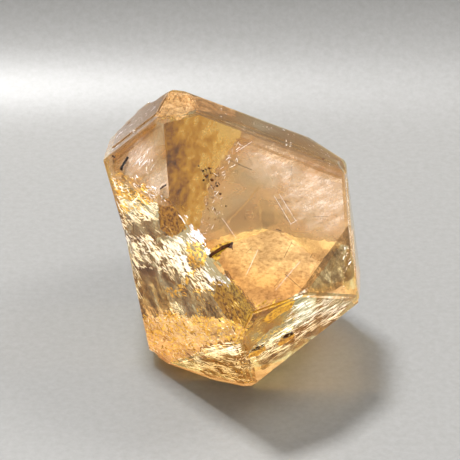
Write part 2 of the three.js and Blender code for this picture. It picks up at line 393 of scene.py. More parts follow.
# Limonite, a soft brown iron rust: matt, with grains near 0.4 mm and paler patches of 6 mm.
limonite, tree = new_material("limonite_crust")
grain = streaks(tree, 0, 1.3, 1.3, 9.0, 0.75)
patchy = streaks(tree, 20, 0.16, 0.16, 3.0, 0.5)
mixed = add(tree, "Math", {"operation": "MULTIPLY_ADD", 1: 0.75}, {0: patchy, 2: grain})
worn_thin = add(tree, "ValToRGB", {"stops": [(0.28, 0.35), (0.42, 1.0)]}, {"Fac": grain})
rusts = [(0.6, "#7E6246"), (0.76, "#AE968A"), (0.88, "#C4AEA4"), (1.0, "#DED0CE")]
finish_film(tree, rusts, worn_thin.outputs[0], mixed.outputs[0])
new_piece("limonite_crust", crust, limonite)


# ---- Amber stain ---------------------------------------------------
# A face deep on the left of the crystal that iron water stained amber while it was still growing.
# The quartz over it shows it from both upper faces.

stain = bmesh.new()
add_sheet(
    stain, "b2", 0.4,
    [(-0.8, -17), (11.5, -15.2), (20.4, -8.2), (16.9, -5.5), (13, -2.9), (10.9, 0.1), (9.5, 4), (8, 8.2),
     (5, 6.5), (0, 2.6)],
    ragged=0.5, seed=11,
)
# Iron stain in quartz: clouded amber with a grainy skin, so that it takes light from all sides.
amber, tree = new_material("amber_stain")
cloud = streaks(tree, 70, 0.12, 0.2, 5.0, 0.55)
fine = streaks(tree, 70, 0.8, 0.9, 7.0, 0.7)
mixed = add(tree, "Math", {"operation": "MULTIPLY_ADD", 1: 0.3}, {0: fine, 2: cloud})
grainy = add(tree, "Bump", {"Strength": 1.0, "Distance": 0.0012}, {"Height": fine})
ambers = [(0.45, "#B87A24"), (0.6, "#E9BE58"), (0.7, "#FBE08A"), (0.85, "#FFF2B8")]
covers = [(0.5, 0.95), (0.62, 0.8), (0.75, 0.25)]
finish_film(tree, ambers, covers, mixed.outputs[0], lean=grainy.outputs[0])
new_piece("amber_stain", stain, amber)


# ---- Tan haze ------------------------------------------------------
# Clouds of fine iron oxide dust that settled on the growing back faces and give the clear quartz
# its tan depth.

haze = bmesh.new()
for face, depth in (("b3", 0.8), ("b5", 0.8), ("b4", 0.8), ("b2", 1.3)):
    add_sheet(haze, face, depth, margin=0.5)
# Oxide dust: pale, half clear and without an edge, in clouds some 8 mm across.
dust, tree = new_material("tan_dust")
cloud = streaks(tree, 30, 0.1, 0.14, 6.0, 0.6)
tans = [(0.35, "#D8C6AC"), (0.65, "#F4ECE0")]
finish_film(tree, tans, [(0.4, 0.0), (0.7, 0.5)], cloud, roughness=0.7, glow=0.5)
new_piece("tan_haze", haze, dust)


# ---- White cracks --------------------------------------------------
# Hair-thin cracks full of air. They run down to the right under the left face, up to the right
# under the lower right one, and stand in short fans elsewhere. The rows of them along the ridge
# beside the left face and along the left and lower right outline are painted highlights.


def inside(x, y, outline):
    """Whether a point of a face lies within an outline."""
    hit = False
    for (ax, ay), (bx, by) in zip(outline, outline[1:] + outline[:1]):
        if (ay > y) != (by > y) and x < (bx - ax) * (y - ay) / (by - ay) + ax:
            hit = not hit
    return hit


FLASHING = (-0.14, -0.36, 0.92)  # the way a crack faces when it flashes: between lamp and front
FRONT = Vector((0, -0.866, 0.5))  # towards the front and 30 degrees up
UPRIGHT = (0.5, 0.866)  # up, as seen from there: the shares of +Y and +Z in it
TRIES = 40  # places tried for each splinter that is wanted
BARE_CELLS = 0.7  # bare places per mm
BARE_FRAY = 0.15  # how much the edge of a bare place is frayed
BARE_LEVEL = 0.35  # how rare bare places are where gaps is 0
SQUARE = 0.25  # the least that a splinter faces the front
TURNED = 0.8  # how far it is turned to the front if it faces it less
MOSTLY_SHORT = 1.7  # the power that makes short splinters the common ones
COVERED = 0.15  # mm of quartz between a splinter's tips and any face
THICK = 0.008  # mm, half of a splinter's thickness
JAGS = 3  # a splinter's jags per mm


def add_cracks(
    bm, face, outline, count, depth, length, width, angle, spread, seed, tilt=24, gaps=0.0, facing=FLASHING
):
    """Thin splinters within an outline on a face. Their depth, length and width lie between two
    values in mm. Seen from the front they are drawn out along an angle, give or take the spread,
    and they stand open towards one direction, give or take the tilt. gaps leaves more bare places."""
    rng = random.Random(seed)
    origin, right, up, outward = face_axes(face)
    low = [min(p[k] for p in outline) for k in (0, 1)]
    high = [max(p[k] for p in outline) for k in (0, 1)]
    swarm = bmesh.new()
    placed = 0
    for _ in range(count * TRIES):
        if placed == count:
            break
        x, y = rng.uniform(low[0], high[0]), rng.uniform(low[1], high[1])
        if not inside(x, y, outline):
            continue
        spot = Vector((x * BARE_CELLS, y * BARE_CELLS, seed * 3.1))
        if noise.noise(spot) + rng.uniform(-BARE_FRAY, BARE_FRAY) < gaps - BARE_LEVEL:
            continue
        placed += 1
        shake = Vector((rng.gauss(0, 1), rng.gauss(0, 1), rng.gauss(0, 1)))
        normal = (Vector(facing).normalized() + shake * math.tan(math.radians(tilt))).normalized()
        if normal.dot(FRONT) < SQUARE:
            normal = (normal + FRONT * TURNED).normalized()
        turn = math.radians(angle + rng.gauss(0, spread))
        along = Vector((math.cos(turn), *(share * math.sin(turn) for share in UPRIGHT)))
        along = (along - FRONT * (along.dot(normal) / FRONT.dot(normal))).normalized()
        across = normal.cross(along)
        middle = origin - outward * rng.uniform(*depth) + right * x + up * y
        size = rng.random() ** MOSTLY_SHORT
        long = (length[0] + (length[1] - length[0]) * size) / 2
        wide = (width[0] + (width[1] - width[0]) * size * rng.uniform(0.4, 1.0)) / 2
        ends = [middle + along * long * k for k in (-1, 1)] + [middle + across * wide * k for k in (-1, 1)]
        if any((p - point).dot(way) > -COVERED for p in ends for point, way in PLANES.values()):
            continue
        laid = Matrix((along * long, across * wide, normal * THICK)).transposed().to_4x4()
        laid.translation = middle
        made = bmesh.ops.create_cone(
            swarm, cap_ends=True, segments=rng.choice((5, 6, 7)), radius1=1, radius2=1, depth=2, matrix=laid
        )
        for vert in made["verts"]:
            vert.co += noise.noise_vector(vert.co * JAGS) * wide / 2
    pour(bm, swarm)


def add_swarms(bm, swarms):
    """Several swarms of splinters. Each has its face and its outline there, how many splinters,
    their depth, length, width, angle and spread, its seed, and what else sets it apart."""
    for face, outline, count, depth, length, width, angle, spread, seed, other in swarms:
        add_cracks(bm, face, outline, count, depth, length, width, angle, spread, seed, **other)


def add_rod(bm, face, start, end, depth, thick, sides=6):
    """A straight thin rod under a face, from one of its points to another."""
    origin, right, up, outward = face_axes(face)
    ends = [origin - outward * depth + right * x + up * y for x, y in (start, end)]
    along = ends[1] - ends[0]
    laid = Matrix.Translation((ends[0] + ends[1]) / 2) @ along.to_track_quat("Z", "Y").to_matrix().to_4x4()
    rod = bmesh.new()
    radius = thick / 2
    bmesh.ops.create_cone(
        rod, cap_ends=True, segments=sides, radius1=radius, radius2=radius, depth=along.length, matrix=laid
    )
    pour(bm, rod)


def grains(tree, per_metre, detail, rough=0.5):
    """Noise through the body of a piece, by how many grains it has to a metre."""
    place = add(tree, "TexCoord", {})
    drawn = {"Scale": per_metre, "Detail": detail, "Roughness": rough}
    return add(tree, "TexNoise", drawn, {"Vector": place.outputs["Object"]}).outputs["Fac"]


cracks = bmesh.new()
for seed, big, share in ((1, 1.0, 1.0), (101, 2.1, 0.16)):
    # two clusters, a patch and a fringe under the left face, the big splinters fewer
    add_swarms(cracks, [
        # face, outline, count, depth, length, width, angle, spread, seed, the rest
        ("t2", [(-8.3, 2.4), (-1.6, 5.5), (3.4, 6.1), (6.5, 4.3), (4.8, 1.1), (0.8, 0.5), (-4.8, -1.5),
          (-6.8, -0.1)],
         int(330 * share), (0.15, 1.1), (0.3 * big, 1.8 * big), (0.1 * big, 0.4 * big), -40, 22, seed,
         {"gaps": 0.3}),
        ("t2", [(1.8, 6.2), (9.6, 10.8), (11.5, 10), (8.2, 8.3), (7.6, 4.8), (8.4, 3.7), (6.4, 0.6),
          (3.9, 3.3)],
         int(240 * share), (0.15, 1.0), (0.3 * big, 2.0 * big), (0.1 * big, 0.4 * big), -48, 18, seed + 1,
         {"tilt": 22, "gaps": 0.25}),
        ("t2", [(8.2, 3.7), (12.1, 5.6), (14, 4.4), (11.4, 1), (8.7, 0.6)],
         int(90 * share), (0.5, 1.6), (0.5 * big, 1.8 * big), (0.12 * big, 0.35 * big), -45, 14, seed + 2,
         {"gaps": 0.1}),
        ("t2", [(-11.6, 12.6), (-7, 13), (-1.4, 13.5), (1, 12), (-1.5, 10.4), (-8.1, 8.1), (-10.7, 8.8)],
         int(125 * share), (0.2, 1.4), (0.3 * big, 1.5 * big), (0.1 * big, 0.3 * big), -22, 28, seed + 3,
         {"gaps": 0.3}),
        ("t2", [(-9.7, 7.8), (0.5, 11.5), (0, 8.9), (-8.8, 4.6)],
         int(160 * share), (0.5, 1.8), (0.4 * big, 1.8 * big), (0.1 * big, 0.3 * big), -28, 20, seed + 4,
         {"gaps": 0.1}),
    ])
add_swarms(cracks, [
    # face, outline, count, depth, length, width, angle, spread, seed, the rest
    ("t2", [(-9.1, 4.9), (-0.9, 8.2), (6, 7.9), (9.9, 5.8), (13.7, 4), (8.4, 0.3), (-1.6, -0.5), (-6.7, 1)],
     110, (0.2, 1.0), (0.4, 2.2), (0.08, 0.3), -44, 16, 19, {"gaps": 0.55}),
    ("t2", [(-3.9, -10), (2.1, -6.7), (12, -3), (20.8, -0.2), (19.4, -4.4), (3.2, -14.5), (-1.9, -14.6)],
     210, (0.2, 0.9), (0.2, 0.8), (0.08, 0.3), -30, 40, 20, {"tilt": 26}),
    ("t2", [(9.4, 5.9), (12.3, 6.6), (18.9, 4.8), (15.1, 3.9), (11.3, 4)],
     60, (0.2, 0.9), (0.3, 1.4), (0.06, 0.2), -50, 14, 21, {}),
    ("t2", [(3.2, -4.1), (6.4, -3), (6.7, -5.8), (3.9, -7.2)],
     60, (0.5, 1.4), (0.3, 1.2), (0.1, 0.3), -60, 20, 5, {}),
    # the fan under the upper left face
    ("t1", [(-5.2, 7.3), (-2.6, 7.1), (-1, 3), (-2.9, 2.6), (-4.8, 3.9)],
     26, (0.3, 1.2), (0.5, 2.0), (0.04, 0.1), 55, 14, 6, {"facing": (-0.4, -0.4, 0.8)}),
    ("t1", [(-7.8, 4.9), (-4, 2.6), (0.9, -2.6), (0.9, -4), (-2.8, -1.4), (-8.1, 3.2)],
     60, (0.3, 1.2), (0.3, 1.4), (0.08, 0.25), -30, 30, 7, {}),
    ("t0", [(-4.9, 7.7), (-2.8, 7.7), (-4.6, 0.2), (-5.8, -5.9), (-8.3, -11), (-9.9, -10.6), (-8.7, -4.2),
      (-7.4, 1.6)],
     70, (0.2, 1.4), (0.3, 1.4), (0.03, 0.08), 62, 30, 18, {"tilt": 40, "gaps": 0.2}),
    # under the foot and the lower right face
    ("t3", [(-3.2, -2.8), (6.2, 10.4), (8.2, -3.1), (3.3, -4.3)],
     680, (0.1, 0.9), (0.3, 2.0), (0.1, 0.35), -22, 22, 8, {"tilt": 26, "gaps": 0.25}),
    ("t3", [(0.5, 3.9), (6.6, 11.3), (7.2, 7.3), (2.7, 3.5)],
     120, (0.3, 1.0), (0.6, 2.4), (0.15, 0.5), 10, 10, 9, {"tilt": 18}),
    ("t4", [(-8.5, 2.8), (-3.2, 7), (-2.3, 12.6), (0.1, 12.3), (8.9, 5.4), (6.6, 0.8), (-0.2, -0.1),
      (-5.9, -2.1)],
     540, (0.2, 1.5), (0.4, 3.2), (0.07, 0.34), 36, 12, 10, {"tilt": 22, "gaps": 0.2}),
    ("t4", [(-10.9, 5.7), (-7.1, 6), (-2.9, 5.4), (-9.1, -2.4)],
     80, (0.4, 1.6), (0.4, 1.6), (0.1, 0.3), 36, 16, 11, {}),
    # painted highlights: white splinters along the ridge beside the left face, and along the left and
    # the lower right outline, where these edges catch the light
    ("t2", [(5.7, 12.3), (7.2, 12.5), (10, 11.1), (12.9, 9.1), (12.4, 7.2), (11.4, 7.1), (11.7, 8.6),
      (9.1, 10.2)],
     60, (0.2, 0.7), (0.5, 1.8), (0.1, 0.25), -55, 8, 17, {"tilt": 20}),
    ("t2", [(-12.1, 12.8), (-10.6, 12.4), (-8, 6.8), (-5.3, 1.5), (-3.7, -6.7), (-4.8, -7.2), (-7.1, 0.8),
      (-10, 6.7)],
     110, (0.3, 1.0), (0.6, 2.2), (0.08, 0.22), -72, 8, 15, {"tilt": 22}),
    ("t4", [(-7, -7.6), (-0.1, -5.9), (8.9, 2.7), (9, 0.7), (0.6, -8), (-5.9, -9.3)],
     90, (0.3, 1.0), (0.6, 2.0), (0.08, 0.22), 40, 8, 16, {"tilt": 22}),
    # single glints under the upper bands and the right-hand face
    ("m0", [(-13.4, 8.4), (-5.9, 9.9), (4.4, 9.9), (10.6, 2.9), (9, -3.1), (2.4, -2.1), (-6.6, -0.7),
      (-12.6, 2.6)],
     34, (0.2, 1.0), (0.15, 0.6), (0.08, 0.2), 0, 60, 12, {"facing": (0, 0, 1), "tilt": 26}),
    ("m1", [(-5.8, -0.8), (-5.3, 11.4), (-2.3, 10.2), (1.5, 9.9), (3.7, 6.2), (-0.3, 2.5), (-4.1, -1.2)],
     40, (0.2, 0.8), (0.3, 1.0), (0.08, 0.25), 40, 30, 14, {"facing": (0, 0, 1), "tilt": 26}),
    ("t5", [(-1.9, 0.3), (0.6, -0.1), (1.7, -6), (-0.9, -6.5)],
     30, (0.3, 1.4), (0.3, 1.2), (0.12, 0.35), 50, 30, 13, {"tilt": 26}),
])
# two long scratch-like cracks and a few hairs under the big upper face
for ends in (
    [(2, -1.7), (4.6, -6.5)],
    [(2.8, -1.2), (5.4, -5.8)],
    [(5.6, -5.6), (4.5, -6.6)],
    [(-4, 5.5), (-1.4, 7.9)],
    [(-6.2, -7.1), (-4, -10.4)],
    [(5.9, -13.1), (2.1, -18.7)],
    [(-0.6, -12), (-2.5, -16.9)],
):
    add_rod(cracks, "t0", *ends, 0.4, 0.035, 5)
# Air-filled crack in quartz: a white flash, glossy where it is flat, with a fine frosting. Along
# the ridge and the outlines the same white is a painted highlight of the edges.
white, tree = new_material("air_crack_and_painted_edge_glint")
frosting = grains(tree, 2500.0, 3.0)
frosted = add(tree, "Bump", {"Strength": 0.3, "Distance": 0.00005}, {"Height": frosting})
finish_film(
    tree, "#F2F6FF", None, roughness=0.3, glow=0.4, lets_by="#FEFEFD", lean=frosted.outputs[0], shine=0.5
)
new_piece("white_cracks", cracks, white)


# ---- Healed veils --------------------------------------------------
# Old cracks that closed again and left sheets of tiny bubbles. They hang under the two upper
# faces, pale and wispy.

veils = bmesh.new()
add_sheet(veils, "t0", 1.4, margin=0.8, lift=0.3)
add_sheet(veils, "t1", 1.0, margin=0.8, lift=0.3, seed=5)
# Bubble veil: pinkish white wisps about 1 by 3 mm that fade out at the veil's edge.
bubbles, tree = new_material("bubble_veil")
place = add(tree, "TexCoord", {})
within = None
for spot, reach in (
    ((13.5, -5.4, 27.6), 9.5),
    ((7, -0.4, 31.9), 8.0),
    ((-14.2, -2.5, 32.9), 5.0),
    ((-11.3, -8.4, 31.6), 4.5),
):
    far = add(
        tree, "VectorMath", {"operation": "DISTANCE", 1: Vector(spot) * MM}, {0: place.outputs["Object"]}
    )
    near = add(
        tree,
        "MapRange",
        {"interpolation_type": "SMOOTHSTEP", "From Max": reach * MM, "To Min": 1.0, "To Max": 0.0},
        {"Value": far.outputs["Value"]},
    )
    if within:
        near = add(tree, "Math", {"operation": "MAXIMUM"}, {0: within.outputs[0], 1: near.outputs[0]})
    within = near
wisps = streaks(tree, 35, 0.3, 0.8, 9.0, 0.78)
fine = streaks(tree, 0, 2.2, 2.2, 6.0, 0.75)
mixed = add(tree, "Math", {"operation": "MULTIPLY_ADD", 1: 0.35}, {0: fine, 2: wisps})
shown = add(
    tree,
    "ValToRGB",
    {"stops": [(0.5, 0.04), (0.68, 0.25), (0.82, 0.75), (0.95, 1.0)]},
    {"Fac": mixed.outputs[0]},
)
covers = add(tree, "Math", {"operation": "MULTIPLY"}, {0: shown.outputs[0], 1: within.outputs[0]})
finish_film(tree, "#E8DED6", covers.outputs[0], roughness=0.4, glow=0.5)
new_piece("healed_veils", veils, bubbles)


# ---- Gold films ----------------------------------------------------
# Thin gold scales of limonite in the old cracks of the left side and the foot. Iron water crept in
# along them and dried there before the cracks closed.

gold_films = bmesh.new()
add_swarms(gold_films, [
    # face, outline, count, depth, length, width, angle, spread, seed, the rest
    ("t2", [(7.7, 8.1), (11.6, 9.7), (12.5, 8.6), (11.8, 6.2), (9.6, 4.6), (7.7, 4.8)],
     230, (0.2, 0.6), (0.3, 1.2), (0.15, 0.6), -50, 30, 31, {"tilt": 18}),
    ("t2", [(8.6, 3.8), (10.1, 4.6), (6.3, -1.1), (4.6, -2.8), (2.1, -2.6), (2.9, -1.4), (4.6, -1.2)],
     90, (0.4, 1.0), (0.3, 1.0), (0.15, 0.4), -50, 30, 32, {"tilt": 20}),
    ("t2", [(-12.2, 12.7), (-7.1, 13.3), (-1.5, 13.7), (-0.1, 11.9), (-4.2, 8.6), (-8.8, 6.4), (-10.8, 8.7)],
     200, (0.6, 2.2), (0.4, 1.8), (0.2, 0.7), -30, 24, 33, {"tilt": 20, "gaps": 0.2}),
    ("t2", [(0.8, 11.7), (4.3, 13.4), (6.7, 12.2), (6.4, 9.5), (2.7, 7.2), (0.7, 8.1)],
     60, (0.8, 2.2), (0.3, 1.2), (0.1, 0.4), -50, 24, 34, {"tilt": 20, "gaps": 0.1}),
    ("t2", [(-5, -10.3), (1.7, -6.6), (11.6, -2.9), (20.9, 0.1), (19.5, -4), (19, -4.7), (2.8, -15.1),
      (-2.3, -15.3), (-4.1, -13.3)],
     1100, (0.2, 1.6), (0.2, 1.2), (0.1, 0.5), -30, 40, 35, {"gaps": 0.1}),
    ("t2", [(4.5, -1.8), (14.3, 4.4), (18.1, 4), (22.3, 2.1), (20.9, 0.1), (11.6, -2.9), (5.5, -3.9)],
     130, (0.6, 2.6), (0.3, 1.2), (0.1, 0.4), -45, 24, 36, {"tilt": 26, "gaps": 0.3}),
    ("t2", [(15.1, 3.5), (19.4, 4), (23.1, 2.6), (21.2, 0), (17.5, 0.1)],
     60, (0.2, 0.8), (0.3, 1.6), (0.05, 0.2), -62, 14, 40, {}),
    ("t4", [(-10.2, 11.9), (-8.2, 13.8), (-3.3, 11.3), (-0.4, 6.9), (-3.9, 4.7), (-9.2, 4)],
     110, (0.5, 2.2), (0.3, 1.3), (0.1, 0.4), 36, 20, 38, {"tilt": 26, "gaps": 0.2}),
    ("t3", [(-4.6, -4.5), (6.5, 10.3), (8.8, -4.6), (3.1, -5.6)],
     20, (0.4, 1.8), (0.3, 1.4), (0.12, 0.4), -10, 30, 39, {"tilt": 26, "gaps": 0.2}),
])
# Thin limonite scale: brown to pale gold by its thickness, in blotches of about 1 mm.
gold, tree = new_material("gold_scale")
blotch = grains(tree, 700.0, 6.0, 0.7)
golds = [(0.32, "#8C6E1C"), (0.44, "#CEB048"), (0.56, "#E8D680"), (0.7, "#FAF4CC")]
finish_film(tree, golds, [(0.3, 0.3), (0.5, 0.9)], blotch, roughness=0.4, glow=0.5, lets_by="#FDFBF6")
new_piece("gold_films", gold_films, gold)


# ---- Brown clouds --------------------------------------------------
# Loose brown and olive limonite between the cracks of the left face and at the ends of the lower
# ones.

clouds = bmesh.new()
add_sheet(
    clouds, "t2", 2.3,
    [(0.3, 11.4), (3.8, 13.1), (6.2, 11.9), (5.9, 9.2), (2.2, 6.8), (0.2, 7.8)],
    ragged=0.5, seed=71,
)
add_sheet(
    clouds, "t2", 2.4,
    [(-10.5, 5.5), (-4.8, 8.1), (0.2, 8.8), (3.1, 7.2), (-1.9, 3.9), (-8.6, 1.3)],
    ragged=0.8, seed=72,
)
add_sheet(
    clouds, "t2", 2.2,
    [(-6.5, -1.3), (0.1, 0.1), (6.1, -0.6), (13.4, 4.3), (17.7, 3.7), (21.9, 1.8), (20.5, -0.9), (11, -3.7),
     (2, -6.9), (-4.7, -10.6)],
    ragged=0.9, seed=73, margin=0.1,
)
add_sheet(
    clouds, "t2", 2.6,
    [(-9.2, 2.1), (-2.5, 5.2), (4, 5.1), (9.8, 5.5), (12.7, 3.6), (9.8, 0.3), (3.9, -0.9), (-5.7, -2.8)],
    ragged=0.8, seed=74,
)
add_sheet(
    clouds, "t4", 2.6,
    [(-8.1, 1), (-2.5, 2.9), (2.8, 5.2), (9, 2.3), (5.5, -1.7), (0.2, -3.3), (-6.6, -4.9)],
    ragged=0.6, seed=75,
)
add_sheet(
    clouds, "t5", 0.7,
    [(-4.4, 3.7), (4.8, 3.4), (4.4, -7.7), (-13.2, -7.6), (-11.3, -2)],
    ragged=0.3, seed=76, margin=0.1,
)
add_sheet(clouds, "m1", 1.1, margin=0.8)
add_sheet(
    clouds, "t3", 2.0,
    [(1.7, 3.8), (6.8, 10.8), (9.1, -5.9), (3.2, -7.8), (-0.1, -4.2)],
    ragged=0.6, seed=78, margin=0.6,
)
# Earthy limonite: matt olive brown, streaked along the cracks, with clear gaps of 2 to 5 mm.
earth, tree = new_material("earthy_limonite")
cloud = streaks(tree, -40, 0.22, 0.5, 8.0, 0.75)
fine = streaks(tree, 0, 1.6, 1.6, 6.0, 0.75)
mixed = add(tree, "Math", {"operation": "MULTIPLY_ADD", 1: 0.35}, {0: fine, 2: cloud})
olives = [(0.5, "#5A3C00"), (0.7, "#9A6E0C"), (0.9, "#D0A436")]
covers = [(0.52, 0.85), (0.68, 0.45), (0.8, 0.0)]
finish_film(tree, olives, covers, mixed.outputs[0], roughness=0.6, glow=0.4)
new_piece("brown_clouds", clouds, earth)


# ---- Brown splinters -----------------------------------------------
# Cracks of the same swarms as the white ones, which opened to the outside and filled with dark
# limonite in place of air.

splinters = bmesh.new()
add_swarms(splinters, [
    # face, outline, count, depth, length, width, angle, spread, seed, the rest
    ("t2", [(-8.6, 5.4), (1.1, 9), (6.9, 6.6), (12.2, 6.7), (11.7, 1.7), (-1.6, -0.1), (-6.7, -0.2)],
     150, (0.3, 1.2), (0.5, 2.4), (0.06, 0.2), -44, 12, 81, {"tilt": 20, "gaps": 0.1}),
    ("t4", [(-9.2, 2.9), (-2.5, 5.8), (2.3, 9), (8.9, 5.1), (6.5, 0.9), (-0.3, -0.1), (-7, -2.3)],
     170, (0.3, 1.4), (0.5, 2.6), (0.05, 0.18), 36, 8, 82, {"tilt": 20, "gaps": 0.1}),
    ("t3", [(-3.2, -2.8), (6.2, 9.6), (8.2, -3.1), (3.3, -4.3)],
     260, (0.3, 1.4), (0.4, 2.2), (0.06, 0.22), -22, 16, 83, {"tilt": 20, "gaps": 0.1}),
    ("t2", [(-4, -9.8), (21.1, -0.1), (19.2, -4.4), (3, -14.6), (-3.1, -13.4)],
     90, (0.4, 1.6), (0.3, 1.6), (0.05, 0.18), -20, 40, 84, {}),
    ("t0", [(-9.6, 3.1), (-7.1, 3.9), (-5.9, 0.4), (-7.4, -4), (-5.5, -9.5), (-8.6, -8.9), (-9.3, -2.4)],
     70, (0.2, 1.2), (0.15, 0.9), (0.08, 0.28), 70, 40, 85, {"facing": (0.1, -0.5, 0.85), "tilt": 22}),
    ("t2", [(15.1, 4.2), (19.4, 4.3), (23.1, 2.6), (21.2, 0), (17, -0.1)],
     70, (0.2, 0.9), (0.4, 2.0), (0.06, 0.2), -62, 14, 87, {}),
])
# Dense limonite: near black where it is thick and rusty amber at its thin edges.
burnt, tree = new_material("dense_limonite")
browns = [(0.35, "#3A2008"), (0.6, "#7A4A14"), (0.75, "#A87426")]
grain = grains(tree, 700.0, 5.0)
finish_film(tree, browns, [(0.3, 0.6), (0.6, 0.95)], grain, roughness=0.6, glow=0.3, lets_by="#FAF4EA")
new_piece("brown_splinters", splinters, burnt)


# ---- Crushed quartz ------------------------------------------------
# Under the broken top, and along the start of the upper band, the quartz is crushed to a cream
# and orange frosting.

frost = bmesh.new()
add_sheet(
    frost, "top", 0.8,
    [(-2.9, 6.4), (0, 8.5), (2.1, 6.3), (3.5, -2.2), (2.1, -3.5), (0.2, -6.2), (-1.3, -4.7), (-2.7, -5.9),
     (-3.3, -1.6)],
    ragged=0.35, seed=92, margin=0.7, lift=0.5,
)
add_sheet(
    frost, "m0", 0.9,
    [(-16.4, 8.3), (-11.9, 10.3), (-6.6, 10.6), (-6.6, 5.7), (-12.6, 0.9), (-16.2, 0.9)],
    ragged=0.4, seed=91,
)
# Crushed quartz with rust in it: sugary cream with orange blotches of about 1 mm.
cream, tree = new_material("crushed_quartz")
cloud = streaks(tree, 0, 0.9, 0.5, 8.0, 0.75)
creams = [(0.38, "#A47A44"), (0.52, "#BE9A64"), (0.66, "#DCC6A4")]
finish_film(tree, creams, [(0.35, 0.35), (0.6, 0.8)], cloud, roughness=0.6, glow=0.4)
new_piece("crushed_quartz", frost, cream)


# ---- Smoky bands ---------------------------------------------------
# Brownish clouding just under the two upper prism faces. Natural radiation turned the last layers
# of quartz smoky there, some more than others, so the clouding lies in bands.

bands = bmesh.new()
for face in ("m0", "m1"):
    for depth in (0.8, 1.5):
        add_sheet(bands, face, depth, margin=0.7)
# Smoky quartz: a thin grey-brown veil, banded along the face in lines near 2 mm.
smoke, tree = new_material("smoky_quartz")
cloud = streaks(tree, -15, 0.12, 0.5, 6.0, 0.6)
smokes = [(0.3, "#4E3410"), (0.7, "#86602A")]
finish_film(tree, smokes, [(0.35, 0.08), (0.65, 0.5)], cloud, roughness=0.6, glow=0.4)
new_piece("smoky_bands", bands, smoke)


# ---- Rosy haze -----------------------------------------------------
# The finest iron oxide, spread evenly through a layer under the two upper end faces. It softens
# all that lies behind it to a rosy tan.

rosy = bmesh.new()
add_sheet(
    rosy, "t0", 1.9,
    [(-3.1, 11.2), (13.7, 5.7), (14.5, -8), (6.2, -8.2), (0.3, -7.4), (-7.8, -10.8), (-10, -11.2),
     (-9.4, -5.7), (-7.6, 0.9), (-6, 6.1)],
    ragged=0.4, seed=12,
)
add_sheet(
    rosy, "t1", 1.3,
    [(-12.2, 6.8), (-9.3, 11.3), (-3.3, 15.6), (0.1, 13.7), (0.7, 11.5), (2.1, -3.7), (-0.4, -3.7),
     (-4.2, -0.1), (-11, 5)],
    seed=13, margin=0.1,
)
# Oxide dust spread in quartz: an even rosy tan veil, clouded over some 5 mm.
rosy_dust, tree = new_material("rosy_dust")
cloud = streaks(tree, 30, 0.16, 0.24, 7.0, 0.6)
roses = [(0.3, "#94764E"), (0.7, "#BE9E76")]
finish_film(tree, roses, [(0.3, 0.35), (0.7, 0.65)], cloud, roughness=0.7, glow=0.5)
new_piece("rosy_haze", rosy, rosy_dust)


# ---- Amber veil ----------------------------------------------------
# A healed crack close under the left of the big upper face, stained by iron water that came in at
# its left edge, where it is brown.

veil = bmesh.new()
add_sheet(
    veil, "t0", 0.5,
    [(-17.7, 13), (-13.6, 13.8), (-9.4, 13), (-2.8, 10.3), (-4, 7.4), (-5.9, 4.4), (-7.1, 1.6), (-8.4, -1.6),
     (-8.8, -4.6), (-9.3, -7.6), (-10, -10.6), (-12, -8.8), (-15.7, -8.1), (-17.5, 1.7)],
    ragged=0.5, seed=61, margin=0.1,
)
# Iron-stained quartz: brown at the left edge and paler gold over the next 9 mm, in streaks that
# run down the crack.
resin, tree = new_material("iron_stained_quartz")
cloud = streaks(tree, 75, 0.16, 0.4, 7.0, 0.65)
fine = streaks(tree, 70, 0.9, 1.4, 7.0, 0.75)
place = add(tree, "UVMap", {"uv_map": "UVMap"})
split = add(tree, "SeparateXYZ", {}, {"Vector": place.outputs[0]})
edge = add(tree, "MapRange", {"From Min": -15, "From Max": -6}, {"Value": split.outputs["X"]})
mixed = add(tree, "Math", {"operation": "MULTIPLY_ADD", 1: 0.8}, {0: fine, 2: cloud})
shifted = add(
    tree, "Math", {"operation": "MULTIPLY_ADD", 1: 0.35}, {0: edge.outputs[0], 2: mixed.outputs[0]}
)
scaled = add(tree, "Math", {"operation": "MULTIPLY", 1: 0.6}, {0: shifted.outputs[0]})
teas = [(0.44, "#402000"), (0.54, "#784C02"), (0.64, "#A0740A"), (0.76, "#BC9C50")]
covers = [(0.44, 0.97), (0.6, 0.85), (0.76, 0.45)]
finish_film(tree, teas, covers, scaled.outputs[0], roughness=0.5, glow=0.5)
new_piece("amber_veil", veil, resin)


# ---- Needles -------------------------------------------------------
# Goethite, the dark iron mineral that limonite comes from, grew in straight needles. One thick one
# lies under the upper left face and some fine ones cross the crystal.

needles = bmesh.new()
for face, ends, depth, thick in (
    ("t1", [(-7.6, 4.8), (-6.2, 6.6)], 0.35, 0.5),
    ("t1", [(-9.3, 8), (-8.8, 7.5)], 0.7, 0.22),
    ("t1", [(-0.2, -1), (0.9, -0.6)], 0.6, 0.3),
    ("t0", [(3.6, -15.6), (6.4, -18)], 0.7, 0.08),
    ("t0", [(4.8, -9.5), (3.5, -12.6)], 0.9, 0.06),
    ("t0", [(-5, 3.9), (-1.4, 2.7)], 0.8, 0.09),
    ("t0", [(2.3, -7.7), (3.1, -7.9)], 0.7, 0.14),
    ("t4", [(-0.1, 12.1), (0.8, 9.4)], 0.6, 0.08),
):
    add_rod(needles, face, *ends, depth, thick)
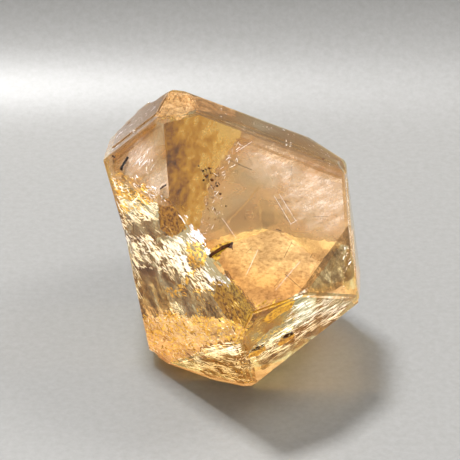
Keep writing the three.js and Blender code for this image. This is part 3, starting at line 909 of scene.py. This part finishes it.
# Tiny ones lie everywhere, at random. Those that would come too near a face are left out.
NEEDLE_COVER = 0.4  # mm
TINY_NEEDLES = 150
rng = random.Random(5)
for _ in range(TINY_NEEDLES):
    face = rng.choice(["t0", "t0", "t0", "t2", "t2", "t1", "t4", "b5", "b2", "m4", "b0"])
    x, y = rng.uniform(-13, 13), rng.uniform(-16, 12)
    turn, long = rng.uniform(0, math.pi), rng.uniform(0.5, 2.6)
    depth = rng.uniform(1.0, 5.0)
    tips = [(x, y), (x + long * math.cos(turn), y + long * math.sin(turn))]
    origin, right, up, outward = face_axes(face)
    spots = [origin - outward * depth + right * a + up * b for a, b in tips]
    if all((s - point).dot(way) < -NEEDLE_COVER for s in spots for point, way in PLANES.values()):
        add_rod(needles, face, *tips, depth, rng.uniform(0.03, 0.07), 5)


def finish_grainy(tree, grain, stops, roughness, bump, deep):
    """Ends an opaque material that one grain colours and roughens. Quartz touches it, so it has
    next to no gloss. deep is the height of the grain in metres."""
    colour = add(tree, "ValToRGB", {"stops": stops}, {"Fac": grain})
    rough = add(tree, "Bump", {"Strength": bump, "Distance": deep}, {"Height": grain})
    body = add(
        tree,
        "BsdfPrincipled",
        {"Roughness": roughness, "Specular IOR Level": 0.1},
        {"Base Color": colour.outputs[0], "Normal": rough.outputs[0]},
    )
    add(tree, "OutputMaterial", {}, {"Surface": body.outputs[0]})


# Goethite: nearly black brown, next to no gloss where quartz touches it, with a grain under 1 mm.
goethite, tree = new_material("goethite")
finish_grainy(
    tree, grains(tree, 1800.0, 3.0), [(0.35, "#0C0603"), (0.7, "#2A190C")], 0.5, bump=0.3, deep=0.00003
)
new_piece("goethite_needles", needles, goethite)


# ---- Packed limonite -----------------------------------------------
# The open crack on the big upper face and the pits on the lower right one are packed with dark
# brown limonite.

filling = bmesh.new()
add_sheet(
    filling, "t0", 0.12,
    [(-8.8, -15.4), (-8.4, -15), (-7.6, -14.1), (-6.7, -13.3), (-5.9, -12.6), (-5.1, -12), (-4.7, -12.4),
     (-4.5, -12.7), (-4.6, -12), (-4.4, -11.4), (-4.7, -11.3), (-5.1, -11.6), (-6.1, -12.2), (-6.8, -12.8),
     (-7.7, -13.6), (-8.4, -14.5)],
    ragged=0.04, seed=41, margin=-0.1, thick=0.3,
)
SUNK = 0.55  # how much of its radius a lump of limonite sits under the face
LUMPY = 0.3  # how far it is from round
LUMPS = 2600  # its bumps per metre
# Each lump's place on its face and its radius, in mm.
for face, lumps in (
    ("t4", [
        (-8.9, 5, 0.4), (-8.1, 4.9, 0.48), (-7.2, 4.8, 0.4), (-4.9, 3.9, 0.22), (-3, 4.2, 0.6),
        (-2.1, 4.1, 0.5), (-8.5, 6.5, 0.12), (-6.2, 5.7, 0.1), (-6.5, 3.4, 0.12),
    ]),
    ("m1", [(-2.9, 9.8, 0.35), (-3.9, 9.9, 0.25)]),
    ("t0", [
        (-9.2, 0.9, 0.2), (-8.7, 0.1, 0.28), (-8.3, 1.6, 0.22), (-7.8, -0.5, 0.3), (-7, -1.5, 0.2),
        (-8, 0.7, 0.14), (-9.1, -0.8, 0.18), (-6.5, -2.9, 0.2), (-5.6, -5, 0.14), (-9.9, 1.7, 0.14),
        (-7.2, 0.3, 0.13), (-8.8, 1.3, 0.16),
    ]),
    ("t1", [(0.5, -0.9, 0.22), (0.2, -1.1, 0.14), (1.1, -0.8, 0.1), (-9, 7.6, 0.16)]),
    ("m0", [(7.9, -1.8, 0.2), (7.2, -1.4, 0.12)]),
    ("t2", [(6.2, -1.8, 0.12), (4.9, -5, 0.1), (-0.2, -8.7, 0.09), (8.7, -4.4, 0.1), (-3.2, -7.3, 0.09)]),
):
    origin, right, up, outward = face_axes(face)
    for x, y, size in lumps:
        spot = (origin + right * x + up * y - outward * size * SUNK) * MM
        made = bmesh.ops.create_icosphere(filling, subdivisions=2, radius=size * MM)
        for vert in made["verts"]:
            vert.co *= 1 + LUMPY * noise.noise(vert.co * LUMPS + Vector((x, y, size)))
        bmesh.ops.translate(filling, vec=spot, verts=made["verts"])
# Packed limonite: matt, dark brown with rusty specks, its grains near 0.3 mm.
rust, tree = new_material("packed_limonite")
browns = [(0.35, "#0E0502"), (0.5, "#2E1406"), (0.62, "#64370F"), (0.74, "#A06C2A")]
finish_grainy(tree, grains(tree, 900.0, 6.0, 0.7), browns, 0.9, bump=0.6, deep=0.0001)
new_piece("packed_limonite", filling, rust)


# ---- Crack stain ---------------------------------------------------
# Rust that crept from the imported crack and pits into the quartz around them, and into the corner
# where the left face meets the foot.

halo = bmesh.new()
add_sheet(
    halo, "t0", 0.35,
    [(-8.9, -15.5), (-8.4, -13.7), (-7.6, -12.8), (-6.8, -12.1), (-5.7, -11.4), (-4.6, -11), (-5.3, -12.3),
     (-6.2, -13.3), (-6.5, -14.4), (-7.2, -15.1), (-8.3, -15.2)],
    ragged=0.12, seed=42,
)
add_sheet(
    halo, "t2", 1.0,
    [(0.5, 12.4), (4, 14.1), (6.4, 12.8), (7.4, 10.5), (3.9, 7.4), (0.9, 7.9)],
    ragged=0.4, seed=77, margin=0.1,
)
add_sheet(
    halo, "t2", 0.6,
    [(15.2, 4.9), (21.3, 5.9), (25.4, 3.9), (21.8, -0.1), (17.1, -0.8), (14.2, 1.4)],
    ragged=0.3, seed=43, margin=0.05,
)
add_sheet(
    halo, "t4", 0.3,
    [(-7.3, 12.7), (-5.6, 14.3), (-3.2, 14.6), (-1.6, 14.1), (-2.3, 12.3), (-4.5, 11.8), (-6.2, 10.9)],
    ragged=0.2, seed=45,
)
add_sheet(
    halo, "t4", 0.25,
    [(-4.7, 2.9), (-3.8, 4.4), (-2.6, 4.9), (-1.7, 4.1), (-1.5, 2.6), (-2.7, 2.1), (-4, 2)],
    ragged=0.2, seed=46,
)
add_sheet(
    halo, "t4", 0.25,
    [(-9.6, 4.2), (-8.6, 5.5), (-6.9, 5.2), (-6.5, 3), (-8, 2.5), (-9.6, 3)],
    ragged=0.2, seed=47,
)
# Rust stain: clear amber that is brown where it is thick, in blotches near 0.6 mm.
stained, tree = new_material("rust_stain")
fine = streaks(tree, 0, 1.6, 1.6, 6.0, 0.7)
rusts = [(0.42, "#7A5200"), (0.56, "#EEC63C")]
finish_film(tree, rusts, [(0.35, 0.9), (0.65, 0.5)], fine, roughness=0.5, glow=0.5)
new_piece("crack_stain", halo, stained)


# ---- Table and light -----------------------------------------------
# A plain satin table with a sweep that curves up behind, one soft lamp high behind the left
# shoulder, a weak one to the right, and an even pale surround.

REACH = 1.2  # metres from the crystal to the table's edges
SWEEP_START, SWEEP_RADIUS, SWEEP_TURN, SWEEP_STEPS = 0.0646, 0.04, math.radians(70), 24
board = bmesh.new()
bmesh.ops.create_grid(board, x_segments=1, y_segments=1, size=REACH)
sweep_edge = board.edges.new([board.verts.new((side, SWEEP_START, 0)) for side in (REACH, -REACH)])
turned_about = (0, SWEEP_START, SWEEP_RADIUS)
spun = bmesh.ops.spin(
    board, geom=[sweep_edge], cent=turned_about, axis=(1, 0, 0), angle=SWEEP_TURN, steps=SWEEP_STEPS
)
last = [e for e in spun["geom_last"] if isinstance(e, bmesh.types.BMEdge)]
slope = bmesh.ops.extrude_edge_only(board, edges=last)["geom"]
rising = [v for v in slope if isinstance(v, bmesh.types.BMVert)]
bmesh.ops.translate(board, vec=(0, 0.2, 0.55), verts=rising)
bmesh.ops.reverse_faces(board, faces=[f for f in board.faces if f.normal.z < 0])
for polygon in board.faces:
    polygon.smooth = True
# Satin laminate: pale grey with a soft shine and a barely felt grain of about 1 mm.
laminate, tree = new_material("satin_laminate")
fine = grains(tree, 900.0, 4.0, 0.7)
bumps = add(tree, "Bump", {"Strength": 0.12, "Distance": 0.0001}, {"Height": fine})
shade = add(tree, "ValToRGB", {"stops": [(0.3, "#6E6D6A"), (0.7, "#777674")]}, {"Fac": fine})
satin = add(
    tree,
    "BsdfPrincipled",
    {"Roughness": 0.45, "Specular IOR Level": 0.4},
    {"Base Color": shade.outputs[0], "Normal": bumps.outputs[0]},
)
# It shows only its upper side, so that the sweep behind doesn't hide the crystal from the back.
side = add(tree, "NewGeometry", {})
nothing = add(tree, "BsdfTransparent", {})
one_sided = add(
    tree, "MixShader", {}, {0: side.outputs["Backfacing"], 1: satin.outputs[0], 2: nothing.outputs[0]}
)
add(tree, "OutputMaterial", {}, {"Surface": one_sided.outputs[0]})
table = put("table", new_mesh("table", board, laminate))
table.location.z = -0.00002  # a hair under the scar that the crystal lies on

# An even surround, white above and pale grey below.
surround = bpy.data.worlds.new("surround")
surround.use_nodes = True
scene.world = surround
tree = surround.node_tree
sky = tree.nodes["Background"]
sky.inputs["Strength"].default_value = 0.9
place = add(tree, "TexCoord", {})
height = add(tree, "SeparateXYZ", {}, {"Vector": place.outputs["Generated"]})
ramp = add(tree, "ValToRGB", {"stops": [(0.0, "#B4B4B2"), (0.75, "#FFFFFF")]}, {"Fac": height.outputs["Z"]})
tree.links.new(ramp.outputs[0], sky.inputs["Color"])
surround.cycles.sampling_method = "MANUAL"
surround.cycles.sample_map_resolution = 256

# Each lamp's place, its power in watts and its width in metres.
for name, away, energy, size in (
    ("soft_lamp", Vector((-0.215, 0.307, 0.927)) * 0.95, 18.5, 0.15),
    ("fill_lamp", Vector((0.5, 0.25, 0.62)), 6.3, 0.3),
):
    light = bpy.data.lights.new(name, "AREA")
    light.energy = energy
    light.size = size
    lamp = put(name, light)
    lamp.location = away
    lamp.rotation_euler = away.to_track_quat("Z", "Y").to_euler()

# Light is followed through as many films as lie behind one another, and gets to them as lamplight
# that passes the skin, so it isn't traced a second time through the bends of the quartz.
scene.view_settings.view_transform = "Standard"
scene.cycles.max_bounces = 16
scene.cycles.transmission_bounces = 16
scene.cycles.transparent_max_bounces = 24
scene.cycles.caustics_refractive = False
scene.cycles.sample_clamp_indirect = 6.0

# A long lens from the front, 30 degrees above the table.
lens = bpy.data.cameras.new("camera")
lens.sensor_width = 36
lens.lens = 195.652
lens.clip_start = 0.01
camera = put("camera", lens)
camera.location = (-0.0005615, -0.34166, 0.216105)
camera.rotation_euler = (math.radians(60), 0, 0)
scene.camera = camera
